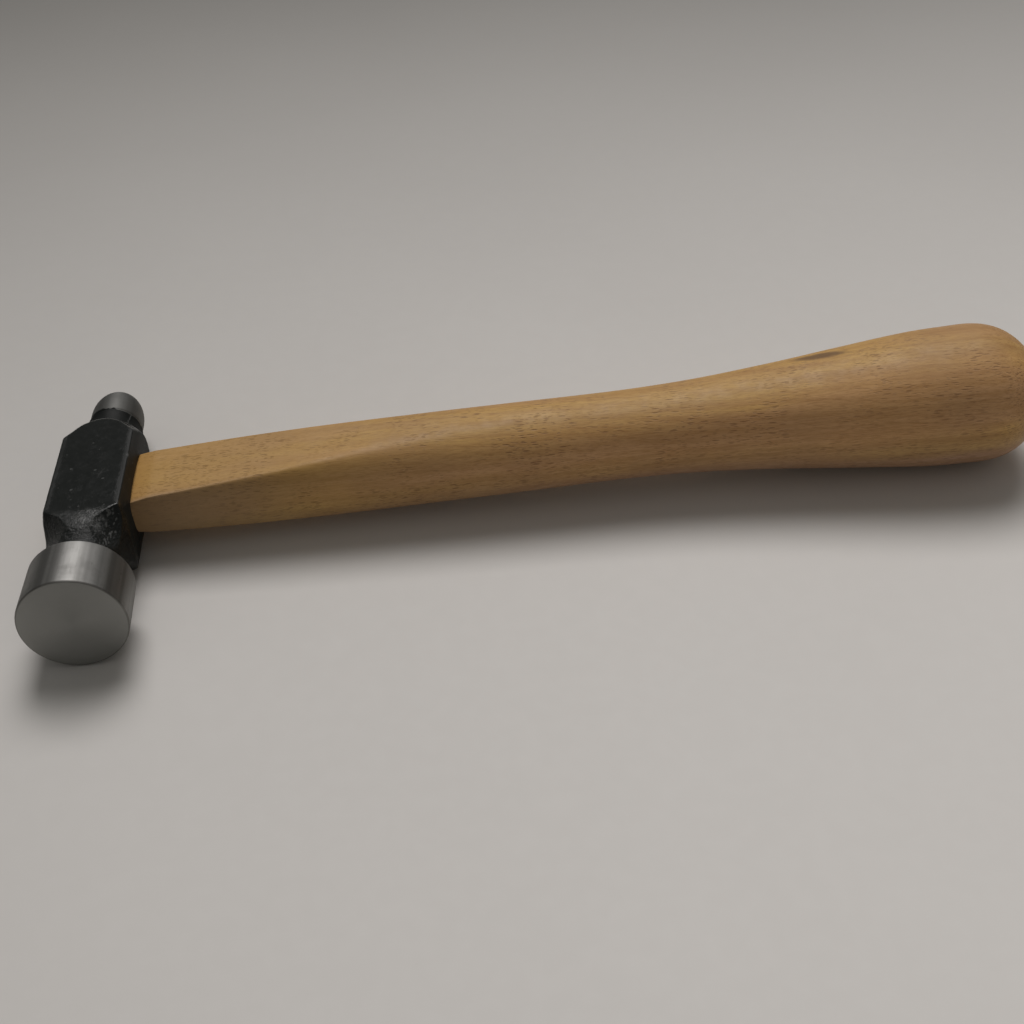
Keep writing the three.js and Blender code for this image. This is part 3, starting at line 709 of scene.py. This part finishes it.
def head_material():
    """Machined bright poll, face and ball, and black enamel on the forged middle."""
    s = Shader("head_finish")
    p = s.position
    x, y, z = s.split(p)
    radius = s.length(x, z)

    # the enamel's edges: sharp behind the poll, brushed slantwise and unevenly at the ball
    wander = s.math("MULTIPLY", s.math("SUBTRACT", s.noise(p, 0.5, 3.0), 0.5), 2.2)
    ball_edge = s.math("ADD", s.math("ADD", y, wander), s.math("MULTIPLY", x, 0.24))
    painted = s.math(
        "MULTIPLY",
        s.remap(y, PAINT_FRONT_Y - 0.12, PAINT_FRONT_Y + 0.02),
        s.remap(ball_edge, PAINT_BALL_Y + 0.12, PAINT_BALL_Y - 0.12),
    )

    # bare steel: soft light and dark bands round the axis that are painted reflections, turning
    # marks, smudges, fine scratches and nicks
    around = s.node("Math", {0: z, 1: x}, operation="ARCTAN2").outputs[0]
    round_the_axis = s.node(
        "CombineXYZ", {0: s.math("COSINE", around), 1: s.math("SINE", around), 2: 0.0}
    ).outputs[0]
    reflection_bands = s.remap(s.noise(s.mapped(round_the_axis, shift=(0.3, 1.1, 0)), 4.2, 2.0), 0.32, 0.68)
    turning = s.noise(s.node("CombineXYZ", {0: radius, 1: y, 2: 0.0}).outputs[0], 9.0, 2.0, 0.7)
    smudge = s.noise(p, 0.22, 4.0, 0.6)
    scratches = s.noise(s.mapped(p, scale=(3.0, 0.25, 3.0), turn=(0.2, 0.5, 0.1)), 1.2, 3.0, 0.7)
    nicks = s.cells(s.mapped(p, shift=(0.2, 0.6, 0.1), scale=(1, 0.7, 1)), 0.55)
    nick = s.math(
        "MULTIPLY",
        s.remap(nicks["Distance"], 0.13, 0.05),
        s.remap(s.split(nicks["Color"])[0], 0.78, 0.82),
    )
    bright = s.mix(reflection_bands, *POLL_STEEL)
    bright = s.mix(s.remap(smudge, 0.5, 0.7, 0, 0.35), bright, SMUDGED_STEEL)
    bright = s.mix(s.remap(scratches, 0.56, 0.72, 0, 0.35), bright, SCRATCHED_STEEL)
    on_ball = s.remap(y, 18.0, 20.0)
    bright = s.mix(on_ball, bright, s.mix(reflection_bands, *BALL_STEEL))
    face = s.mix(smudge, *FACE_STEEL)
    on_face = s.math("MULTIPLY", s.remap(y, -38.15, -38.25), s.remap(radius, 9.95, 9.7))
    steel = s.mix(on_face, bright, face)
    rim = s.math("MULTIPLY", s.remap(y, -37.85, -38.05), s.remap(radius, 9.6, 9.85))
    steel = s.mix(s.math("MULTIPLY", rim, 0.6), steel, RIM_STEEL)
    steel = s.mix(s.between(on_face, s.math("MULTIPLY", nick, 0.4), 0.0), steel, NICK)
    steel_rough = s.remap(smudge, 0.3, 0.7, 0.52, 0.6)
    steel_rough = s.math("ADD", steel_rough, s.math("MULTIPLY", on_ball, 0.12))

    # enamel: nearly smooth on the cheeks, orange peel with rubbed high spots behind the poll,
    # lightened there both as wear and as painted highlights of the light on the peel
    drift = s.noise(p, 0.16, 3.0)
    enamel = s.mix(drift, *ENAMEL)
    behind_poll = s.math("MULTIPLY", s.remap(y, -25.3, -23), s.remap(y, -13.5, -17))
    dust = s.remap(s.noise(p, 1.6, 5.0, 0.7), 0.56, 0.74)
    dust = s.math("MULTIPLY", dust, s.between(behind_poll, 0.14, 0.55))
    enamel = s.mix(dust, enamel, DUSTY_ENAMEL)
    specks = s.cells(s.mapped(p, shift=(0.4, 0.1, 0)), 0.62)
    chip = s.math(
        "MULTIPLY",
        s.remap(specks["Distance"], 0.16, 0.09),
        s.remap(s.split(specks["Color"])[0], 0.84, 0.88),
    )
    enamel = s.mix(s.math("MULTIPLY", chip, 0.3), enamel, CHIPPED_ENAMEL)
    for spot in CHEEK_SPECKS:
        ragged = s.math("MULTIPLY", s.noise(p, 2.6, 2.0), 0.7)
        ragged = s.math("ADD", s.from_spot(spot), ragged)
        enamel = s.mix(s.remap(ragged, 0.72, 0.45, 0, 0.4), enamel, SPECK)
    crackle = s.noise(s.mapped(p, scale=(1, 0.75, 1)), 1.15, 6.0, 0.78, 0.6)
    rubbed_and_glint = s.math(
        "MULTIPLY",
        s.remap(s.from_spot(RUBBED_AND_GLINT_PATCH), 4.0, 0.6),
        s.remap(crackle, 0.44, 0.64, 0.12, 1.0),
    )
    enamel = s.mix(s.math("MULTIPLY", rubbed_and_glint, 0.85), enamel, RUBBED_AND_GLINT_ENAMEL)
    enamel_rough = s.remap(s.noise(p, 0.8, 3.0), 0.35, 0.65, 0.13, 0.19)
    # the sides and the neck by the ball are duller, to match the photograph's brightness
    sides = s.remap(s.math("ABSOLUTE", x), 5.6, 7.4)
    sides = s.math("MULTIPLY", sides, s.remap(y, -15.0, -12.0))
    dull = s.math("MAXIMUM", sides, s.remap(y, 18.5, 20.0))
    enamel_rough = s.between(dull, enamel_rough, 0.6)
    # darker enamel in the hollow neck by the ball: painted shade
    enamel = s.mix(s.remap(y, 18.5, 20.0, 0, 0.7), enamel, NECK_SHADE_ENAMEL)

    # worn edges and painted edge highlights: lighter enamel on the mesh's own corners
    edges = s.node("NewGeometry").outputs["Pointiness"]
    edges = s.math("ADD", edges, s.math("MULTIPLY", s.noise(p, 1.7, 3.0), 0.05))
    worn_and_glint = s.remap(edges, 0.55, 0.62)
    enamel = s.mix(s.math("MULTIPLY", worn_and_glint, 0.5), enamel, WORN_AND_GLINT_ENAMEL)

    peel = s.math("MULTIPLY", s.noise(p, 1.3, 3.0, 0.6), s.between(behind_poll, 0.3, 1.0))
    grit = s.math("MULTIPLY", s.noise(p, 2.6, 3.0, 0.65), s.between(behind_poll, 0.12, 1.9))
    enamel_height = s.math("ADD", peel, grit)
    steel_height = s.math("MULTIPLY", s.math("ADD", turning, scratches), 0.5)
    height = s.between(painted, s.math("MULTIPLY", steel_height, 0.12), enamel_height)
    tangent = s.node("Tangent", direction_type="RADIAL", axis="Y").outputs[0]
    return s.finish(
        Anisotropic=0.5,
        Anisotropic_Rotation=0.25,
        Tangent=tangent,
        Specular_IOR_Level=0.25,
        Base_Color=s.mix(painted, steel, enamel),
        Metallic=s.remap(painted, 0.4, 0.6, 1.0, 0.0),
        Roughness=s.between(painted, steel_rough, enamel_rough),
        Normal=s.bump(height, 0.09),
    )


def wood_material(name, light, dark, fleck, turn):
    """Beech: faint growth rings, streaks along the grain, and short dark ray flecks.

    Gives the shader, its colour, and the flecks and the fibres for the bump.
    """
    s = Shader(name)
    grain = s.mapped(s.position, turn=turn)
    x, y, z = s.split(grain)
    along = s.mapped(grain, scale=(0.018, 0.16, 0.16))
    cloud = s.noise(along, 1.0, 3.0, 0.55)
    streak = s.noise(s.mapped(grain, scale=(0.03, 0.9, 0.9)), 1.0, 4.0, 0.6)
    fibre = s.noise(s.mapped(grain, scale=(0.4, 5.0, 5.0)), 1.0, 3.0, 0.6)

    bent = s.math("ADD", z, s.math("MULTIPLY", s.noise(along, 0.8, 2.0), 9.0))
    ring_radius = s.length(s.math("SUBTRACT", y, PITH_Y), s.math("SUBTRACT", bent, PITH_Z))
    ring = s.math("FRACT", s.math("MULTIPLY", ring_radius, RINGS_PER_MM))
    late = s.math("MULTIPLY", s.remap(ring, 0.55, 0.97), s.remap(ring, 1.0, 0.97))

    def shade(r, g, b):
        return tuple(v * k for v, k in zip(dark, (r, g, b)))

    colour = s.mix(s.remap(cloud, 0.3, 0.7), light, dark)
    rosy = s.noise(s.mapped(grain, scale=(0.012, 0.1, 0.1)), 1.0, 2.0)
    colour = s.mix(s.remap(rosy, 0.42, 0.62, 0, 0.6), colour, shade(1.02, 0.97, 1.25))
    colour = s.mix(s.remap(streak, 0.36, 0.7, 0, 0.62), colour, shade(0.78, 0.7, 0.62))
    colour = s.mix(s.math("MULTIPLY", late, 0.25), colour, shade(0.66, 0.58, 0.5))
    colour = s.mix(s.remap(fibre, 0.42, 0.66, 0, 0.46), colour, shade(0.62, 0.5, 0.38))

    def flecks(size, shift, reach):
        length, width = size
        stretched = s.mapped(grain, scale=(1 / length, 1 / width, 1 / width), shift=shift)
        cell = s.cells(stretched, 1.0)
        chosen = s.remap(s.split(cell["Color"])[0], 0.3, 0.38)
        return s.math("MULTIPLY", s.remap(cell["Distance"], reach, 0.5 * reach), chosen)

    bold = flecks(BOLD_FLECK, (0.3, 0.2, 0.7), 0.38)
    small = flecks(SMALL_FLECK, (5.1, 3.3, 1.9), 0.36)
    marks = s.math("MAXIMUM", bold, s.math("MULTIPLY", small, 0.85))
    strength = s.remap(s.noise(grain, 0.1, 3.0), 0.36, 0.62, 0.2, 1.0)
    strength = s.math("MULTIPLY", strength, s.remap(x, 60.0, 110.0, 1.0, 0.68))
    marks = s.math("MULTIPLY", marks, strength)
    colour = s.mix(marks, colour, fleck)
    return s, colour, marks, fibre


def handle_material():
    grain_turn = (0, 0, math.radians(5))
    s, colour, marks, fibre = wood_material(
        "varnished_beech", BEECH_LIGHT, BEECH_DARK, BEECH_FLECK, grain_turn
    )
    x, y, z = s.split(s.position)
    # the mineral streak on the grip
    lens = s.mapped(s.position, shift=tuple(-v for v in GRIP_MARK))
    lens = s.mapped(lens, turn=(0, 0, math.radians(7)))
    lens_x, lens_y, _ = s.split(lens)
    shape = s.math(
        "ADD",
        s.math("POWER", s.math("DIVIDE", lens_x, 6.4), 2.0),
        s.math("POWER", s.math("DIVIDE", lens_y, 1.7), 2.0),
    )
    ragged = s.math("ADD", shape, s.math("MULTIPLY", s.noise(s.position, 0.7, 3.0), 0.8))
    above = s.remap(z, 6.0, 8.0)
    mark = s.math("MULTIPLY", s.math("MULTIPLY", s.remap(ragged, 1.5, 0.5), above), 0.85)
    colour = s.mix(mark, colour, MINERAL_STREAK)
    # more golden towards the head, where varnish has pooled
    colour = s.mix(s.remap(x, 90.0, 15.0, 0, 0.4), colour, GOLDEN_WOOD)
    colour = s.mix(s.remap(x, 12.5, 8.0, 0, 0.4), colour, POOLED_VARNISH)
    # painted light: bluer below and paler on the near side: tuned to the photograph's
    # brightness under this light, so these may be its light and not the wood's own colour
    colour = s.tinted(s.remap(z, 0.5, -6.0), colour, UNDERSIDE_PAINTED_LIGHT)
    pale = s.math("MULTIPLY", s.remap(y, -3.0, -7.0), s.remap(z, -1.5, 2.0))
    pale = s.math("MULTIPLY", pale, s.remap(x, 35.0, 70.0))
    colour = s.tinted(pale, colour, NEAR_SIDE_PAINTED_LIGHT)
    # darker and greyer on the near side towards the head, tuned in the same way, and a handled
    # bloom all over
    near_head_darkening = s.math("MULTIPLY", s.remap(y, -6.5, -8.6, 0, 0.55), s.remap(x, 50.0, 12.0))
    colour = s.mix(near_head_darkening, colour, NEAR_HEAD_DARKENING)
    hand = s.remap(s.noise(s.position, 0.05, 3.0), 0.4, 0.7, 0, 0.22)
    colour = s.mix(hand, colour, HANDLED_WOOD)
    height = s.math("SUBTRACT", s.math("MULTIPLY", fibre, 0.35), marks)
    rough = s.remap(s.noise(s.position, 0.35, 3.0), 0.3, 0.7, 0.5, 0.6)
    return s.finish(
        Base_Color=colour,
        Roughness=rough,
        Coat_Weight=0.03,
        Coat_Roughness=0.4,
        Specular_IOR_Level=0.35,
        Normal=s.bump(height, 0.045),
    )


def wedge_wood_material():
    s, colour, _, fibre = wood_material(
        "wedge_wood", WEDGE_WOOD_LIGHT, WEDGE_WOOD_DARK, WEDGE_WOOD_FLECK, (0, 0, 0)
    )
    pores = s.cells(s.mapped(s.position, scale=(0.2, 1, 1)), 5.0)["Distance"]
    dirty = s.remap(s.noise(s.position, 1.2, 4.0), 0.4, 0.7, 0.0, 0.5)
    colour = s.mix(dirty, colour, WEDGE_WOOD_DIRT)
    height = s.math("ADD", fibre, s.remap(pores, 0.1, 0.4))
    return s.finish(
        Base_Color=colour,
        Roughness=s.remap(fibre, 0.3, 0.7, 0.6, 0.8),
        Normal=s.bump(height, 0.05),
    )


def wedge_steel_material():
    s = Shader("wedge_steel")
    p = s.position
    brushed = s.noise(s.mapped(p, scale=(0.4, 6, 1.2)), 1.5, 4.0, 0.65)
    stain = s.noise(p, 0.9, 4.0, 0.6)
    colour = s.mix(brushed, *WEDGE_STEEL)
    colour = s.mix(s.remap(stain, 0.5, 0.7, 0, 0.7), colour, WEDGE_STAIN)
    return s.finish(
        Base_Color=colour,
        Metallic=1.0,
        Roughness=s.remap(stain, 0.3, 0.7, 0.3, 0.5),
        Normal=s.bump(brushed, 0.03),
    )


SHARP_ANGLE = math.radians(38)
finishes = (
    (head, head_material(), "forged_steel", "head"),
    (handle, handle_material(), "beech", "handle"),
    (wooden_wedge, wedge_wood_material(), "wedge_wood", "wooden_wedge"),
    (steel_wedge, wedge_steel_material(), "wedge_steel", "steel_wedge"),
)
for piece, material, slot, node in finishes:
    piece.data.materials.clear()
    piece.data.materials.append(material)
    for polygon in piece.data.polygons:
        polygon.use_smooth = True
        polygon.material_index = 0
    piece.data.set_sharp_from_angle(angle=SHARP_ANGLE)
    piece.data.transform(HAMMER)
    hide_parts(node)
    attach(piece, "root")

# ---- camera, floor and lights ----

CAMERA_PLACE = Vector((74.177, -239.222, 166.566))
CAMERA_RIGHT = Vector((0.99236581, -0.09223902, -0.08186606))
CAMERA_UP = Vector((0.12101357, 0.60023585, 0.79061535))
camera_data = bpy.data.cameras.new("camera")
camera_data.sensor_width = 36
camera_data.lens = 50.98
camera_data.clip_start = 0.01
camera = bpy.data.objects.new("camera", camera_data)
bpy.context.scene.collection.objects.link(camera)
in_hammer = Matrix((CAMERA_RIGHT, CAMERA_UP, CAMERA_RIGHT.cross(CAMERA_UP))).transposed().to_4x4()
in_hammer.translation = CAMERA_PLACE * MM
camera.matrix_world = HAMMER @ in_hammer
bpy.context.scene.camera = camera

FLOOR_HALF = 12
TABLE_COLOURS = ((0.70, 0.68, 0.655), (0.745, 0.726, 0.70))
floor_mesh = bpy.data.meshes.new("floor")
corners = [(a * FLOOR_HALF, b * FLOOR_HALF, 0) for a, b in ((-1, -1), (1, -1), (1, 1), (-1, 1))]
floor_mesh.from_pydata(corners, [], [(0, 1, 2, 3)])
floor = add_piece("floor", floor_mesh)
table = Shader("pale_table")
blotch = table.noise(table.position, 0.012, 3.0)
table_colour = table.mix(blotch, *TABLE_COLOURS)
floor_mesh.materials.append(
    table.finish(
        Base_Color=table_colour,
        Roughness=table.remap(table.noise(table.position, 0.3, 3.0), 0.3, 0.7, 0.75, 0.85),
        Normal=table.bump(table.noise(table.position, 1.5, 3.0), 0.002),
    )
)

# one large soft light behind the hammer, and a dim even room
LIGHT_PLACE = Vector((0.12, 0.42, 0.75))
LIGHT_TARGET = Vector((0.13, -0.2, 0))
light_data = bpy.data.lights.new("key", "AREA")
light_data.shape = "RECTANGLE"
light_data.size, light_data.size_y = 0.8, 0.5
light_data.energy = 1.1
light_data.color = (1.0, 0.97, 0.955)
light_data.spread = math.radians(58)
light = bpy.data.objects.new("key", light_data)
bpy.context.scene.collection.objects.link(light)
light.location = LIGHT_PLACE
light.rotation_euler = (LIGHT_TARGET - LIGHT_PLACE).to_track_quat("-Z", "Y").to_euler()

world = bpy.data.worlds.new("room")
world.use_nodes = True
background = world.node_tree.nodes["Background"].inputs
background["Color"].default_value = (1.0, 0.98, 0.93, 1)
background["Strength"].default_value = 0.155
bpy.context.scene.world = world
bpy.context.scene.view_settings.view_transform = "Standard"
